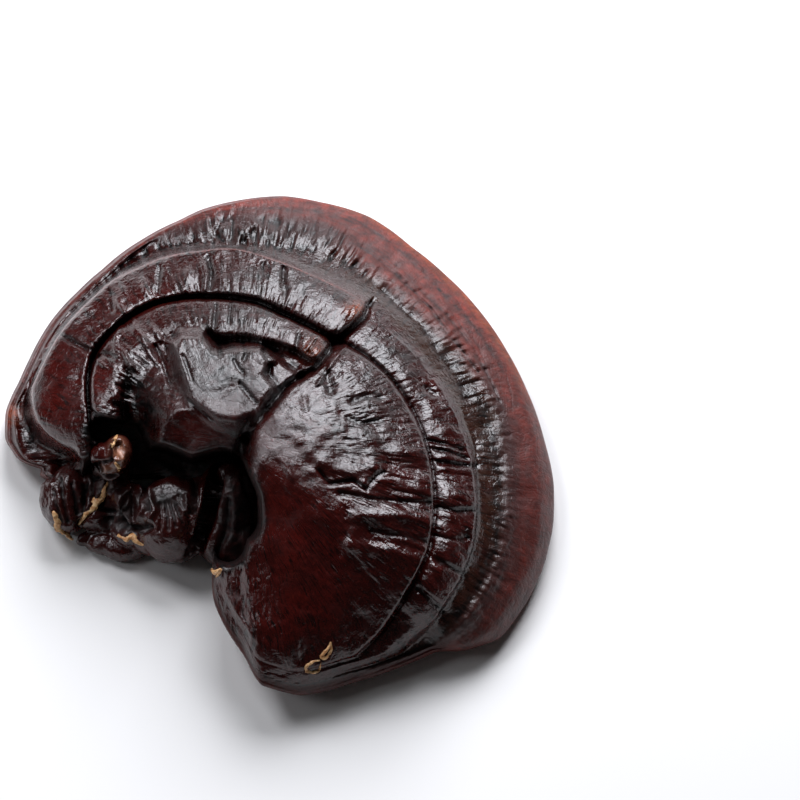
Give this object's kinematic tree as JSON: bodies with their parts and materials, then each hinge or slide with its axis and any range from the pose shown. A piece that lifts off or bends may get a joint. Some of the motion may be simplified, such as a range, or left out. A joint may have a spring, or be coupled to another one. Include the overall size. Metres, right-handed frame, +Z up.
{
  "type": "dried reishi mushroom",
  "caption": "Dried fan-shaped bracket mushroom with a domed, ringed and lacquered cap, a pale pored underside and a short knobbly stem, lying rim down.",
  "frame": {"origin": "on the floor, under the middle of the box round the mushroom as it lies", "axes": "+Z up from the floor, the stem points along -X beside the cap, +Y towards the back of the fan"},
  "size_m": [0.1517, 0.1624, 0.0443],
  "materials": {
    "lacquered_cap_crust": "gloss",
    "lacquered_stem_crust": "gloss"
  },
  "bodies": {
    "root": {"cap": "lacquered_cap_crust", "stem": "lacquered_stem_crust"}
  },
  "joints": []
}
